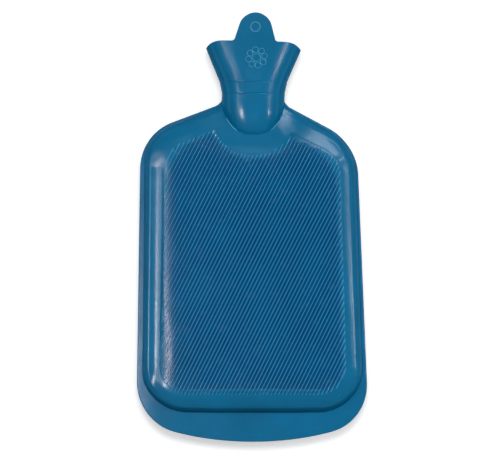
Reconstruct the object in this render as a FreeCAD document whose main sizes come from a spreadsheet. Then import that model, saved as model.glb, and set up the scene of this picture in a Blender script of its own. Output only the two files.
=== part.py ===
"""A two-litre rubber hot water bottle lying on its back.

The bottle is one rubber moulding: a hollow cushion with rolled edges and a ribbed front panel, a flat seam
lip that widens into an apron at the foot, an oval neck, a filling funnel and a hanging tab on the funnel's
front wall. A brass socket with an internal thread is moulded into the neck. A plastic stopper screws into
the socket and presses a rubber washer onto the socket's top face.

Frame, in millimetres: +X across the bottle, +Y from the apron to the hanging tab, +Z up through its
thickness. The origin is at the middle of the bottle's outline, on the surface that it lies on.
"""

import FreeCAD, Part
import Sketcher
import math
import os

Vector = FreeCAD.Vector
Rotation = FreeCAD.Rotation
Constraint = Sketcher.Constraint

# Driving dimensions, in millimetres unless the note says otherwise.
SIZES = [
    ("apron_reach", 24.7, "how far the apron stands out below the cushion"),
    ("side_length", 237.4, "cushion foot to the corner where side and shoulder meet"),
    ("shoulder_rise", 30.0, "that corner to the root of the neck"),
    ("neck_length", 9.4, "root of the neck to the first moulded line"),
    ("collar_length", 10.0, "first moulded line to the second"),
    ("funnel_length", 35.3, "second moulded line to the lip of the mouth"),
    ("tab_height", 24.2, "lip of the mouth to the top of the hanging tab"),
    ("cushion_foot_width", 194.4, "cushion across its foot corners"),
    ("cushion_shoulder_width", 184.0, "cushion across its shoulder corners"),
    ("cushion_foot_radius", 39.5, "foot corners of the cushion in plan"),
    ("cushion_foot_bow", 1.5, "how far the middle of the cushion's foot bows out"),
    ("cushion_foot_reach", 32.4, "how far from the middle the foot's curve begins"),
    ("shoulder_radius", 44.0, "shoulder corners in plan"),
    ("neck_root_radius", 10.0, "hollow corners between shoulders and neck"),
    ("cushion_tuck", 8.0, "how far the cushion's end runs up inside the neck"),
    ("cushion_tuck_taper", 4.1, "how much that end narrows, each side"),
    ("seam_lip_top", 1.7, "seam lip beside the shoulders"),
    ("seam_lip_foot", 3.4, "seam lip beside the foot corners"),
    ("seam_thickness", 2.8, "seam lip and apron"),
    ("seam_bevel", 0.7, "bevel along the seam lip's edges"),
    ("seam_tuck_taper", 2.2, "how much the lip's end narrows inside the neck, each side"),
    ("apron_corner_rise", 16.5, "apron foot to its corners, before rounding"),
    ("apron_corner_radius", 44.0, "apron corners in plan"),
    ("apron_bow", 7.4, "how far the apron's long curve cuts off its lowest point"),
    ("front_rise", 18.0, "seam to the front panel"),
    ("front_roll", 15.0, "rolled edge of the front panel"),
    ("back_roll", 16.0, "rolled edge of the back panel"),
    ("cushion_wall", 2.5, "rubber wall of the cushion"),
    ("cushion_web", 3.8, "rubber between the water space and the socket"),
    ("neck_flat", 9.6, "flat part across the neck's front and back"),
    ("collar_flat", 13.8, "the same at the second moulded line"),
    ("mouth_width", 88.2, "mouth of the funnel, before its corners are rounded"),
    ("lip_flat_width", 62.0, "straight middle of the lip, seen from the front"),
    ("lip_drop", 7.0, "how much lower the lip's corners lie than its middle"),
    ("lip_bend", 14.0, "bend of the lip towards its corners"),
    ("lip_corner", 2.5, "the lip's corners, seen from the front"),
    ("funnel_wall", 3.0, "rubber wall of the funnel, and the hanging tab"),
    ("nose_reach", 33.5, "how far the neck's round nose runs down over the cushion"),
    ("nose_round", 20.0, "the nose's rounding"),
    ("line_width", 1.0, "moulded lines across the neck"),
    ("line_depth", 0.5, "depth of those lines"),
    ("line_span", 40.0, "length of those lines"),
    ("tab_foot_width", 35.4, "hanging tab at the lip"),
    ("tab_top_width", 27.4, "hanging tab at its top, before rounding"),
    ("tab_top_radius", 12.8, "the tab's round top"),
    ("tab_root_radius", 2.5, "hollow corners between tab and lip"),
    ("eye_drop", 12.4, "top of the tab to the middle of the moulded eye"),
    ("eye_diameter", 9.2, "ring of the moulded eye, outside"),
    ("eye_ring_width", 1.1, "width of that ring"),
    ("eye_relief", 0.6, "how far the ring stands up"),
    ("rib_pitch", 3.02, "distance between the ribs, square to them"),
    ("rib_width", 1.0, "top of a rib"),
    ("rib_height", 0.7, "rib above the panel"),
    ("rib_angle", 63.4, "ribs against the X axis, in degrees"),
    ("rib_side_margin", 17.0, "plain margin beside the ribs"),
    ("rib_foot_margin", 16.0, "plain margin below the ribs"),
    ("rib_corner_radius", 14.0, "foot corners of the ribbed area"),
    ("rib_neck_clearance", 37.0, "plain round area under the neck, as a radius"),
    ("rib_clearing_drop", 7.2, "root of the neck to the middle of that round area"),
    ("thread_diameter", 24.0, "outside of the stopper's thread"),
    ("thread_pitch", 4.0, "rise of the thread in one turn"),
    ("thread_depth", 1.3, "height of the thread"),
    ("thread_crest", 1.2, "width of the thread's top"),
    ("thread_flare", 0.5, "how much wider a thread's root is, each side"),
    ("thread_clearance", 0.3, "room between the two threads, all round"),
    ("thread_turns", 2.0, "turns on the stopper, as a number"),
    ("thread_entry", 2.0, "plain length ahead of and behind the thread"),
    ("socket_entry", 1.5, "plain length above the socket's thread"),
    ("socket_wall", 3.2, "brass outside the socket's thread"),
    ("socket_key_height", 1.2, "keying ring on the socket that holds it in the rubber"),
    ("socket_key_width", 4.0, "length of the keying ring"),
    ("socket_rim_overhang", 2.4, "the socket's top rim beyond its barrel"),
    ("socket_rim_thickness", 2.2, "thickness of that rim"),
    ("washer_thickness", 3.0, "sealing washer"),
    ("washer_width", 3.6, "sealing washer, inside to outside"),
    ("washer_clearance", 0.4, "washer hole round the stopper's thread"),
    ("flange_diameter", 33.0, "the stopper's flange, and the swing of its grip"),
    ("flange_thickness", 3.4, "the stopper's flange"),
    ("flange_bevel", 0.8, "bevel round the flange's rim"),
    ("swing_clearance", 3.0, "room between the flange and the funnel's walls"),
    ("shank_bore", 13.0, "hollow inside the stopper's shank"),
    ("grip_height", 23.0, "the stopper's grip above its flange"),
    ("grip_thickness", 6.4, "the grip, front to back"),
    ("grip_foot_width", 20.0, "the grip where it leaves the flange"),
    ("grip_foot_radius", 10.0, "the hollow sides of the grip"),
    ("grip_waist", 5.75, "flange to the corner where the grip widens"),
    ("grip_shoulder", 10.5, "depth of the grip's widest part"),
    ("grip_corner", 6.0, "the grip's top corners"),
    ("grip_bevel", 1.4, "bevel along the grip's edges"),
    ("bore_diameter", 26.0, "passage from the cushion to the socket"),
]

# Spare length, so that a cutting shape runs clear of the face that it cuts through.
CLEAR = 5.0
# How far a shape that is joined to another reaches into it, so that they share volume.
BITE = 0.4

doc = FreeCAD.newDocument("hot_water_bottle")
sheet = doc.addObject("Spreadsheet::Sheet", "Sizes")
for row, (alias, number, note) in enumerate(SIZES, start=1):
    sheet.set(f"A{row}", alias)
    sheet.set(f"B{row}", str(number))
    sheet.set(f"C{row}", note)
    sheet.setAlias(f"B{row}", alias)
doc.recompute()


def size(alias):
    """A driving dimension, for use in an expression."""
    return f"Sizes.{alias}"


def value(expression):
    """An expression's number at the sheet's present sizes."""
    return float(sheet.evalExpression(str(expression)))


def bind(thing, **expressions):
    """Ties properties of a document object to sizes. Double underscores stand for dots."""
    for name, expression in expressions.items():
        thing.setExpression(name.replace("__", "."), str(expression))
    return thing


# Stations along the bottle, measured up from the foot of the apron.
CUSHION_FOOT = size("apron_reach")
SHOULDER = f"({CUSHION_FOOT} + {size('side_length')})"
NECK_ROOT = f"({SHOULDER} + {size('shoulder_rise')})"
LOWER_LINE = f"({NECK_ROOT} + {size('neck_length')})"
UPPER_LINE = f"({LOWER_LINE} + {size('collar_length')})"
LIP = f"({UPPER_LINE} + {size('funnel_length')})"
TAB_TOP = f"({LIP} + {size('tab_height')})"
MIDDLE = f"({TAB_TOP} / 2)"
NOSE_END = f"({NECK_ROOT} - {size('nose_reach')})"
SEAT = LOWER_LINE

# Heights above the surface that the bottle lies on, and half widths.
FUNNEL_INSIDE = f"({size('flange_diameter')} / 2 + {size('swing_clearance')})"
NECK_HALF_DEPTH = f"({FUNNEL_INSIDE} + {size('funnel_wall')})"
SEAM_HEIGHT = NECK_HALF_DEPTH
NECK_FRONT = f"(2 * {NECK_HALF_DEPTH})"
FRONT_TOP = f"({SEAM_HEIGHT} + {size('front_rise')})"
NECK_HALF_WIDTH = f"({NECK_HALF_DEPTH} + {size('neck_flat')} / 2)"
MOUTH_FLAT = f"({size('mouth_width')} - 2 * {NECK_HALF_DEPTH})"
FOOT_HALF = f"({size('cushion_foot_width')} / 2)"
SHOULDER_HALF = f"({size('cushion_shoulder_width')} / 2)"
SEAM_FOOT_HALF = f"({FOOT_HALF} + {size('seam_lip_foot')})"
SEAM_SHOULDER_HALF = f"({SHOULDER_HALF} + {size('seam_lip_top')})"

# The shoulder's slope, and how far down a shoulder corner moves when both its sides move in by one.
SHOULDER_RUN = f"({SEAM_SHOULDER_HALF} - {NECK_HALF_WIDTH})"
SHOULDER_SLANT = f"sqrt({SHOULDER_RUN}^2 + {size('shoulder_rise')}^2)"
CORNER_DROP = f"(({SHOULDER_SLANT} - {size('shoulder_rise')}) / {SHOULDER_RUN})"

# The apron's foot is an arc that touches two slanting lines and has its lowest point at station 0.
APRON_SLANT = (
    f"sqrt({SEAM_FOOT_HALF}^2 + ({size('apron_corner_rise')} + {size('apron_bow')})^2)"
)
APRON_FOOT_RADIUS = f"({size('apron_bow')} / ({APRON_SLANT} / {SEAM_FOOT_HALF} - 1))"

# The screw closure, as radii from its axis and lengths along it.
THREAD_CREST = f"({size('thread_diameter')} / 2)"
THREAD_CORE = f"({THREAD_CREST} - {size('thread_depth')})"
SOCKET_CREST = f"({THREAD_CORE} + {size('thread_clearance')})"
SOCKET_BORE = f"({THREAD_CREST} + {size('thread_clearance')})"
SOCKET_BARREL = f"({SOCKET_BORE} + {size('socket_wall')})"
SOCKET_KEY = f"({SOCKET_BARREL} + {size('socket_key_height')})"
SOCKET_RIM = f"({SOCKET_BARREL} + {size('socket_rim_overhang')})"
WASHER_HOLE = f"({THREAD_CREST} + {size('washer_clearance')})"
WASHER_RIM = f"({WASHER_HOLE} + {size('washer_width')})"
THREAD_LENGTH = f"({size('thread_turns')} * {size('thread_pitch')})"
THREAD_BOTTOM = f"({size('thread_entry')} + {THREAD_LENGTH})"
SHANK_BOTTOM = f"({THREAD_BOTTOM} + {size('thread_entry')})"
SOCKET_THREAD_BOTTOM = f"({THREAD_BOTTOM} + {size('thread_pitch')} / 2)"
SOCKET_LENGTH = f"({SOCKET_THREAD_BOTTOM} + {size('thread_entry')})"
CAVITY_TOP = f"({SEAT} - {SOCKET_LENGTH} - {size('cushion_web')})"

ORIGIN = (-1, 1)
X_AXIS = -1
Y_AXIS = -2
START, END, CENTRE = 1, 2, 3


def outline(name, corners, mirrored=True):
    """A closed sketch of straight sides and rounded corners.

    corners holds (x, y, radius) expressions. An x of None puts the corner on the Y axis, and a radius of
    None leaves it sharp. A mirrored outline gives its right half only, from the foot to the top.
    """
    sketch = doc.addObject("Sketcher::SketchObject", name)
    ring = [(index, corner, 1) for index, corner in enumerate(corners)]
    if mirrored:
        ring += [(i, c, -1) for i, c, _ in reversed(ring) if c[0] is not None]
    count = len(ring)
    points, radii = [], []
    for _, (across, along, radius), side in ring:
        x = 0 if across is None else side * value(across)
        points.append(Vector(x, value(along), 0))
        radii.append(0 if radius is None else value(radius))

    def towards(a, b):
        return (points[b] - points[a]).normalize()

    # Distance from each corner to the start of its rounding.
    reach = []
    for k in range(count):
        opening = towards(k, k - 1).getAngle(towards(k, (k + 1) % count))
        reach.append(radii[k] / math.tan(opening / 2))

    lines = []
    for k in range(count):
        after = (k + 1) % count
        start = points[k] + towards(k, after) * reach[k]
        end = points[after] - towards(k, after) * reach[after]
        lines.append(sketch.addGeometry(Part.LineSegment(start, end), False))

    held = []
    arcs = {}
    for k in range(count):
        before, after = lines[k - 1], lines[k]
        if not radii[k]:
            sketch.addConstraint(Constraint("Coincident", before, END, after, START))
            held.append((after, START))
            continue
        start = points[k] + towards(k, k - 1) * reach[k]
        end = points[k] + towards(k, (k + 1) % count) * reach[k]
        inward = ((start + end) / 2 - points[k]).normalize()
        crest = points[k] + inward * (math.hypot(reach[k], radii[k]) - radii[k])
        arc = sketch.addGeometry(Part.Arc(start, crest, end), False)
        mark = sketch.addGeometry(Part.Point(points[k]), True)
        first = sketch.getPoint(arc, START).distanceToPoint(start)
        last = sketch.getPoint(arc, END).distanceToPoint(start)
        entry, leave = (START, END) if first < last else (END, START)
        sketch.addConstraint(Constraint("Tangent", before, END, arc, entry))
        sketch.addConstraint(Constraint("Tangent", arc, leave, after, START))
        sketch.addConstraint(Constraint("PointOnObject", mark, START, before))
        sketch.addConstraint(Constraint("PointOnObject", mark, START, after))
        arcs[k] = arc
        held.append((mark, START))

    def drive(constraint, expression):
        number = sketch.addConstraint(constraint)
        sketch.setExpression(f"Constraints[{number}]", expression)

    right_half = {}
    for k, (index, (across, along, radius), _) in enumerate(ring):
        if radius is not None:
            drive(Constraint("Radius", arcs[k], radii[k]), radius)
        if index in right_half:
            twin = right_half[index]
            sketch.addConstraint(Constraint("Symmetric", *twin, *held[k], Y_AXIS))
            continue
        right_half[index] = held[k]
        if across is None:
            sketch.addConstraint(Constraint("PointOnObject", *held[k], Y_AXIS))
        else:
            drive(Constraint("DistanceX", *ORIGIN, *held[k], points[k].x), across)
        drive(Constraint("DistanceY", *ORIGIN, *held[k], points[k].y), along)
    return sketch


def plan(name, corners, bottom, height):
    """A slab with a mirrored outline in plan. bottom and height are heights above the table."""
    sketch = outline(name + "Outline", corners)
    bind(sketch, Placement__Base__y=f"-{MIDDLE}", Placement__Base__z=bottom)
    slab = doc.addObject("Part::Extrusion", name)
    slab.Base = sketch
    slab.DirMode = "Custom"
    slab.Dir = Vector(0, 0, 1)
    slab.Solid = True
    return bind(slab, LengthFwd=height)


def oval(name, flat, half_depth, station):
    """The neck's cross-section at a station: two half circles joined by flats."""
    sketch = doc.addObject("Sketcher::SketchObject", name)
    half, radius = value(flat) / 2, value(half_depth)
    circle = [
        Part.Circle(Vector(side * half, 0, 0), Vector(0, 0, 1), radius)
        for side in (1, -1)
    ]
    quarter = math.pi / 2
    top = sketch.addGeometry(
        Part.LineSegment(Vector(half, radius, 0), Vector(-half, radius, 0)), False
    )
    foot = sketch.addGeometry(
        Part.LineSegment(Vector(-half, -radius, 0), Vector(half, -radius, 0)), False
    )
    right = sketch.addGeometry(Part.ArcOfCircle(circle[0], -quarter, quarter), False)
    left = sketch.addGeometry(Part.ArcOfCircle(circle[1], quarter, 3 * quarter), False)
    for ends in (
        (right, END, top, START),
        (top, END, left, START),
        (left, END, foot, START),
        (foot, END, right, START),
    ):
        sketch.addConstraint(Constraint("Tangent", *ends))
    sketch.addConstraint(Constraint("Equal", right, left))
    sketch.addConstraint(Constraint("PointOnObject", right, CENTRE, X_AXIS))
    sketch.addConstraint(Constraint("Symmetric", right, CENTRE, left, CENTRE, Y_AXIS))
    number = sketch.addConstraint(Constraint("Radius", right, radius))
    sketch.setExpression(f"Constraints[{number}]", half_depth)
    number = sketch.addConstraint(Constraint("DistanceX", *ORIGIN, right, CENTRE, half))
    sketch.setExpression(f"Constraints[{number}]", f"{flat} / 2")
    sketch.Placement.Rotation = Rotation(Vector(1, 0, 0), 90)
    bind(sketch, Placement__Base__y=f"{station} - {MIDDLE}")
    return bind(sketch, Placement__Base__z=SEAM_HEIGHT)


def oval_bar(name, flat, half_depth, station, length):
    """A straight stretch of the neck's cross-section, from a station upwards along the bottle."""
    bar = doc.addObject("Part::Extrusion", name)
    bar.Base = oval(name + "Section", flat, half_depth, station)
    bar.DirMode = "Custom"
    bar.Dir = Vector(0, 1, 0)
    bar.Solid = True
    return bind(bar, LengthFwd=length)


def flared_leg(name, flats, half_depth, stations):
    """A stretch of the neck whose half rounds move apart from one station to the next.

    flats holds the flat part's width at the lower and the upper station.
    """
    low, high = stations
    spread = f"(({flats[1]} - {flats[0]}) / 2)"
    middle = plan(
        name + "Middle",
        [
            (f"({flats[0]} / 2)", low, None),
            (f"({flats[1]} / 2)", high, None),
        ],
        f"({SEAM_HEIGHT} - {half_depth})",
        f"2 * {half_depth}",
    )
    sides = []
    for word, side in (("Right", 1), ("Left", -1)):
        sketch = doc.addObject("Sketcher::SketchObject", f"{name}{word}Outline")
        half, radius = side * value(flats[0]) / 2, value(half_depth)
        circle = Part.Circle(Vector(half, 0, 0), Vector(0, 0, 1), radius)
        start = -side * math.pi / 2
        arc = sketch.addGeometry(Part.ArcOfCircle(circle, start, start + math.pi), False)
        low_end, high_end = Vector(half, -radius, 0), Vector(half, radius, 0)
        chord = (high_end, low_end) if side > 0 else (low_end, high_end)
        line = sketch.addGeometry(Part.LineSegment(*chord), False)
        sketch.addConstraint(Constraint("Coincident", arc, END, line, START))
        sketch.addConstraint(Constraint("Coincident", line, END, arc, START))
        sketch.addConstraint(Constraint("Vertical", line))
        sketch.addConstraint(Constraint("PointOnObject", arc, CENTRE, line))
        sketch.addConstraint(Constraint("PointOnObject", arc, CENTRE, X_AXIS))
        number = sketch.addConstraint(Constraint("Radius", arc, radius))
        sketch.setExpression(f"Constraints[{number}]", half_depth)
        number = sketch.addConstraint(Constraint("DistanceX", *ORIGIN, arc, CENTRE, half))
        sketch.setExpression(f"Constraints[{number}]", f"{side} * {flats[0]} / 2")
        sketch.Placement.Rotation = Rotation(Vector(1, 0, 0), 90)
        bind(sketch, Placement__Base__y=f"{low} - {MIDDLE}", Placement__Base__z=SEAM_HEIGHT)
        leg = doc.addObject("Part::Extrusion", name + word)
        leg.Base = sketch
        leg.DirMode = "Custom"
        leg.Dir = Vector(side, 1, 0)
        leg.Solid = True
        bind(leg, Dir__x=f"{side} * {spread}", Dir__y=f"{high} - {low}", LengthFwd="0")
        sides.append(leg)
    return [middle, *sides]


def block(name, centre_x, station, bottom, width, length, height):
    """A rectangular block centred on centre_x, from a station upwards along the bottle."""
    box = doc.addObject("Part::Box", name)
    bind(box, Length=width, Width=length, Height=height)
    bind(box, Placement__Base__x=f"{centre_x} - {width} / 2")
    return bind(
        box, Placement__Base__y=f"{station} - {MIDDLE}", Placement__Base__z=bottom
    )


def upright(name, station, bottom, radius, height):
    """A cylinder that stands on the table's normal, on the bottle's middle line."""
    cylinder = doc.addObject("Part::Cylinder", name)
    bind(cylinder, Radius=radius, Height=height)
    return bind(
        cylinder, Placement__Base__y=f"{station} - {MIDDLE}", Placement__Base__z=bottom
    )


def cylinder_z(name, radius, bottom, height):
    """A cylinder on the screw axis, in the closure's own frame."""
    cylinder = doc.addObject("Part::Cylinder", name)
    bind(cylinder, Radius=radius, Height=height)
    return bind(cylinder, Placement__Base__z=bottom)


def fuse(name, parts, refine=True):
    joined = doc.addObject("Part::MultiFuse", name)
    joined.Shapes = parts
    joined.Refine = refine
    return joined


def cut(name, base, tool, refine=True):
    left = doc.addObject("Part::Cut", name)
    left.Base, left.Tool = base, tool
    left.Refine = refine
    return left


def common(name, parts):
    shared = doc.addObject("Part::MultiCommon", name)
    shared.Shapes = parts
    shared.Refine = True
    return shared


def work_edges(name, kind, base, chosen):
    """Rounds or bevels edges of base. chosen gives an edge's size, or None to leave it alone."""
    doc.recompute()
    worked = doc.addObject(kind, name)
    worked.Base = base
    edges = []
    for number, edge in enumerate(base.Shape.Edges, start=1):
        reach = chosen(edge)
        if reach:
            edges.append((number, reach, reach))
    if not edges:
        raise ValueError(f"{name} found no edge to work")
    worked.Edges = edges
    return worked


ROUND = "Part::Fillet"
BEVEL = "Part::Chamfer"


def lies_at(edge, axis, level, tolerance=0.01):
    """Whether a whole edge lies at one level of an axis: 0 for X, 1 for Y and 2 for Z."""
    box = edge.BoundBox
    low, high = [
        (box.XMin, box.XMax),
        (box.YMin, box.YMax),
        (box.ZMin, box.ZMax),
    ][axis]
    return abs(low - level) < tolerance and abs(high - level) < tolerance


FOOT_BOW_RADIUS = f"({size('cushion_foot_reach')} * {FOOT_HALF} / {size('cushion_foot_bow')})"
WALL = size("cushion_wall")


def cushion_corners(margin, top_station):
    """The cushion's outline, moved in by a margin and closed across at a station."""
    reach_in = f"({size('seam_lip_top')} + {margin})"
    shoulder_x = f"({SHOULDER_HALF} - {margin})"
    shoulder_y = f"({SHOULDER} - {reach_in} * {CORNER_DROP})"
    top_x = (
        f"({shoulder_x} - ({top_station} - {shoulder_y})"
        f" * {SHOULDER_RUN} / {size('shoulder_rise')})"
    )
    return [
        (None, f"({CUSHION_FOOT} + {margin})", FOOT_BOW_RADIUS),
        (
            f"({FOOT_HALF} - {margin})",
            f"({CUSHION_FOOT} + {size('cushion_foot_bow')} + {margin})",
            f"({size('cushion_foot_radius')} - {margin})",
        ),
        (shoulder_x, shoulder_y, f"({size('shoulder_radius')} - {margin})"),
        (top_x, top_station, None),
    ]


# The cushion: a slab with rolled edges, which runs up into the neck.

NECK_TUCK = f"({NECK_HALF_WIDTH} - {size('seam_lip_top')})"
TUCK_TOP = f"({NECK_ROOT} + {size('cushion_tuck')})"
cushion_slab = plan(
    "CushionSlab",
    cushion_corners("0", NECK_ROOT)[:3]
    + [
        (
            NECK_TUCK,
            f"({NECK_ROOT} - {size('seam_lip_top')} * {CORNER_DROP})",
            size("neck_root_radius"),
        ),
        (f"({NECK_TUCK} - {size('cushion_tuck_taper')})", TUCK_TOP, None),
    ],
    "0",
    FRONT_TOP,
)


def panel_edges(front, back, top, floor, closing_station):
    """Chooses the edges round the front and back panels, but not the closing edge at the neck."""

    def chosen(edge):
        if lies_at(edge, 1, value(f"{closing_station} - {MIDDLE}")):
            return None
        if lies_at(edge, 2, value(floor)):
            return value(back)
        if lies_at(edge, 2, value(top)):
            return value(front)
        return None

    return chosen


cushion_skin = work_edges(
    "CushionSkin",
    ROUND,
    cushion_slab,
    panel_edges(size("front_roll"), size("back_roll"), FRONT_TOP, "0", TUCK_TOP),
)

# The seam lip and the apron, in one flat piece round the cushion.

SEAM_BACK = f"({SEAM_HEIGHT} - {size('seam_thickness')} / 2)"
SEAM_FRONT = f"({SEAM_HEIGHT} + {size('seam_thickness')} / 2)"
seam_slab = plan(
    "SeamSlab",
    [
        (None, f"(-{size('apron_bow')})", APRON_FOOT_RADIUS),
        (SEAM_FOOT_HALF, size("apron_corner_rise"), size("apron_corner_radius")),
        (SEAM_SHOULDER_HALF, SHOULDER, f"({size('shoulder_radius')} + {size('seam_lip_top')})"),
        (NECK_HALF_WIDTH, NECK_ROOT, size("neck_root_radius")),
        (f"({NECK_HALF_WIDTH} - {size('seam_tuck_taper')})", LOWER_LINE, None),
    ],
    SEAM_BACK,
    size("seam_thickness"),
)
seam_lip = work_edges(
    "SeamLip",
    BEVEL,
    seam_slab,
    panel_edges(size("seam_bevel"), size("seam_bevel"), SEAM_FRONT, SEAM_BACK, LOWER_LINE),
)

# The neck, which ends in a round nose on the cushion, and the funnel.

neck_bar = oval_bar(
    "NeckBar", size("neck_flat"), NECK_HALF_DEPTH, NOSE_END, f"{LOWER_LINE} - {NOSE_END}"
)
neck = work_edges(
    "Neck",
    ROUND,
    neck_bar,
    lambda edge: value(size("nose_round"))
    if lies_at(edge, 1, value(f"{NOSE_END} - {MIDDLE}"))
    else None,
)


def flared_tube(name, half_depth, mouth_flat, mouth_station):
    """The collar and the funnel above it, as one solid that ends at a station."""
    collar = (size("neck_flat"), size("collar_flat"))
    mouth = (size("collar_flat"), mouth_flat)
    return fuse(
        name,
        [
            *flared_leg(name + "Collar", collar, half_depth, (LOWER_LINE, UPPER_LINE)),
            *flared_leg(name + "Mouth", mouth, half_depth, (UPPER_LINE, mouth_station)),
        ],
    )


funnel_flare = flared_tube("FunnelFlare", NECK_HALF_DEPTH, MOUTH_FLAT, LIP)
MOUTH_SLOPE = f"(({MOUTH_FLAT} - {size('collar_flat')}) / 2 / {size('funnel_length')})"
MOUTH_HALF = f"({size('mouth_width')} / 2 + {BITE})"
mouth_trim = plan(
    "MouthTrim",
    [
        (None, f"({LOWER_LINE} - {CLEAR})", None),
        (
            f"({MOUTH_HALF} - {MOUTH_SLOPE} * ({LIP} - {LOWER_LINE} + {CLEAR}))",
            f"({LOWER_LINE} - {CLEAR})",
            None,
        ),
        (
            f"({MOUTH_HALF} - {MOUTH_SLOPE} * {size('lip_drop')})",
            f"({LIP} - {size('lip_drop')})",
            size("lip_corner"),
        ),
        (f"({size('lip_flat_width')} / 2)", LIP, size("lip_bend")),
        (None, LIP, None),
    ],
    f"(-{CLEAR})",
    f"({NECK_FRONT} + 2 * {CLEAR})",
)
funnel = common("Funnel", [funnel_flare, mouth_trim])

# The hanging tab, with a raised ring where a hanging eye would be pierced.

TAB_BACK = f"({NECK_FRONT} - {size('funnel_wall')})"
TAB_STEP = f"({size('tab_foot_width')} / 2 + 2 * {size('tab_root_radius')})"
hanging_tab = plan(
    "HangingTab",
    [
        (None, f"({LIP} - 2 * {size('funnel_wall')})", None),
        (TAB_STEP, f"({LIP} - 2 * {size('funnel_wall')})", None),
        (TAB_STEP, LIP, None),
        (f"({size('tab_foot_width')} / 2)", LIP, size("tab_root_radius")),
        (f"({size('tab_top_width')} / 2)", TAB_TOP, size("tab_top_radius")),
    ],
    TAB_BACK,
    size("funnel_wall"),
)
EYE = f"({TAB_TOP} - {size('eye_drop')})"
eye_outside = upright(
    "EyeOutside",
    EYE,
    f"({NECK_FRONT} - {BITE})",
    f"{size('eye_diameter')} / 2",
    f"{size('eye_relief')} + {BITE}",
)
eye_inside = upright(
    "EyeInside",
    EYE,
    f"({NECK_FRONT} - {CLEAR})",
    f"{size('eye_diameter')} / 2 - {size('eye_ring_width')}",
    f"2 * {CLEAR}",
)
eye_ring = cut("EyeRing", eye_outside, eye_inside)

# The ribs of the front panel: slanting bars, cut to the ribbed area.

rib_outline = cushion_corners(size("rib_side_margin"), NECK_ROOT)
RIB_PEAK = f"({rib_outline[2][1]} + {rib_outline[2][0]} * {size('shoulder_rise')} / {SHOULDER_RUN})"
rib_slab = plan(
    "RibSlab",
    [
        (None, f"({CUSHION_FOOT} + {size('rib_foot_margin')})", None),
        (
            rib_outline[1][0],
            f"({CUSHION_FOOT} + {size('rib_foot_margin')})",
            size("rib_corner_radius"),
        ),
        (*rib_outline[2][:2], f"({size('shoulder_radius')} - {size('rib_side_margin')})"),
        (None, RIB_PEAK, None),
    ],
    f"({FRONT_TOP} - {BITE})",
    f"({size('rib_height')} + {BITE})",
)
neck_clearing = upright(
    "NeckClearing",
    f"({NECK_ROOT} - {size('rib_clearing_drop')})",
    SEAM_HEIGHT,
    size("rib_neck_clearance"),
    f"{size('front_rise')} + {CLEAR}",
)
rib_field = cut("RibField", rib_slab, neck_clearing)
doc.recompute()

# Slanting bars, one per pitch, across the whole ribbed area.
angle = math.radians(value(size("rib_angle")))
along = Vector(math.cos(angle), math.sin(angle), 0)
square = Vector(-along.y, along.x, 0)
field = rib_field.Shape.BoundBox
span = math.hypot(field.XLength, field.YLength) / 2 + CLEAR
pitch, width = value(size("rib_pitch")), value(size("rib_width"))
bars = []
for step in range(-int(span / pitch), int(span / pitch) + 1):
    corner = Vector(field.Center.x, field.Center.y, field.ZMin - CLEAR)
    corner = corner + square * (step * pitch - width / 2) - along * span
    bar = Part.makeBox(2 * span, width, field.ZLength + 2 * CLEAR)
    bar.Placement = FreeCAD.Placement(corner, Rotation(Vector(0, 0, 1), math.degrees(angle)))
    bars.append(bar)
rib_bars = doc.addObject("Part::Feature", "RibBars")
rib_bars.Shape = Part.makeCompound(bars)
ribs = doc.addObject("Part::MultiCommon", "Ribs")
ribs.Shapes = [rib_field, rib_bars]

# Hollows: the water space, the passage to the socket, the socket's seat and the funnel.

CAVITY_FRONT = f"({FRONT_TOP} - {WALL})"
cavity_corners = cushion_corners(WALL, CAVITY_TOP)
cavity_slab = plan(
    "CavitySlab",
    cavity_corners[:3] + [(*cavity_corners[3][:2], size("shoulder_radius"))],
    WALL,
    f"({CAVITY_FRONT} - {WALL})",
)
# A bevel of this share of a rounding's radius touches the rounding at its middle.
BEVEL_SHARE = 2 - math.sqrt(2)
cavity = work_edges(
    "Cavity",
    BEVEL,
    cavity_slab,
    panel_edges(
        f"({size('front_roll')} - {WALL}) * {BEVEL_SHARE}",
        f"({size('back_roll')} - {WALL}) * {BEVEL_SHARE}",
        CAVITY_FRONT,
        WALL,
        TAB_TOP,
    ),
)


def along_neck(name, radius, start, length):
    """A cylinder on the neck's axis, from a station upwards along the bottle."""
    cylinder = doc.addObject("Part::Cylinder", name)
    bind(cylinder, Radius=radius, Height=length)
    cylinder.Placement.Rotation = Rotation(Vector(1, 0, 0), -90)
    bind(cylinder, Placement__Base__y=f"{start} - {MIDDLE}")
    return bind(cylinder, Placement__Base__z=SEAM_HEIGHT)


SOCKET_FOOT = f"({SEAT} - {SOCKET_LENGTH})"
KEY_STATION = f"({SOCKET_FOOT} + {size('socket_key_width')})"
passage = along_neck(
    "Passage",
    f"{size('bore_diameter')} / 2",
    f"({CAVITY_TOP} - {CLEAR})",
    f"{SOCKET_FOOT} - {CAVITY_TOP} + {CLEAR} + {BITE}",
)
seat_hollows = [
    along_neck("SeatBarrel", SOCKET_BARREL, SOCKET_FOOT, SOCKET_LENGTH),
    along_neck(
        "SeatRim",
        SOCKET_RIM,
        f"({SEAT} - {size('socket_rim_thickness')})",
        f"{size('socket_rim_thickness')} + {BITE}",
    ),
    along_neck("SeatKey", SOCKET_KEY, KEY_STATION, size("socket_key_width")),
]
MOUTH_OVERRUN = f"({MOUTH_FLAT} + 2 * {MOUTH_SLOPE} * {CLEAR})"
funnel_hollow = flared_tube("FunnelHollow", FUNNEL_INSIDE, MOUTH_OVERRUN, f"({LIP} + {CLEAR})")
hollows = fuse("Hollows", [cavity, passage, *seat_hollows, funnel_hollow])

# Moulded lines across the neck's front.

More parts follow.
